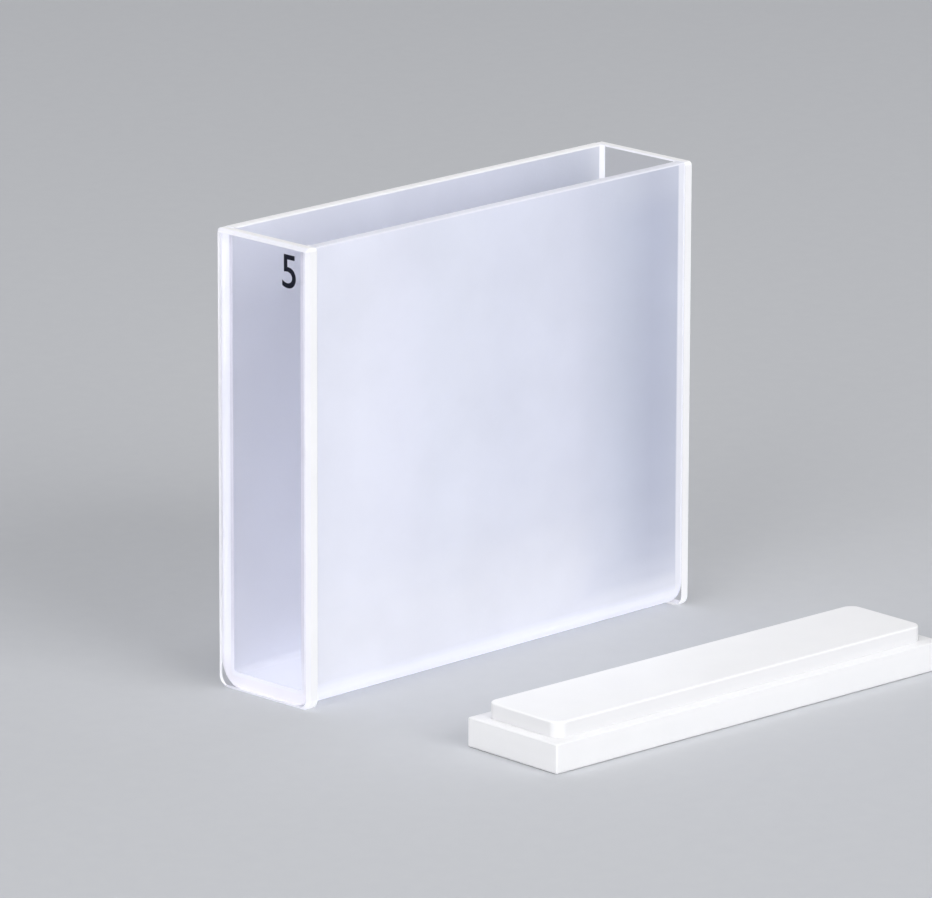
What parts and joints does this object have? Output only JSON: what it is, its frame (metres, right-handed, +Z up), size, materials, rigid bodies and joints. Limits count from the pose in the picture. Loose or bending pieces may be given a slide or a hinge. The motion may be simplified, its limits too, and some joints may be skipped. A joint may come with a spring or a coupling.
{
  "type": "cuvette",
  "caption": "Rectangular long-path quartz cell: a frosted trough with rounded bottom edges between clear end windows, open at the top, with its stepped push-in lid beside it.",
  "frame": {"origin": "middle of the cell's foot, on the surface it stands on; the lid that lies beside it doesn't move it", "axes": "+X along the light path from the left window to the right window, +Y from the lid's side across the cell, +Z up to the open mouth"},
  "size_m": [0.0537, 0.045, 0.045],
  "materials": {
    "frosted_quartz": "ground fused quartz, evenly frosted inside and out, pale lavender white",
    "clear_quartz": "optically polished faces with finely ground, white edges",
    "fused_seam": "milky fused glass bead",
    "white_fluoropolymer": "machined white fluoropolymer, slightly waxy"
  },
  "bodies": {
    "root": {"trough": "frosted_quartz", "left_window": "clear_quartz", "right_window": "clear_quartz", "left_seam": "fused_seam", "right_seam": "fused_seam", "lid": "white_fluoropolymer"}
  },
  "joints": []
}
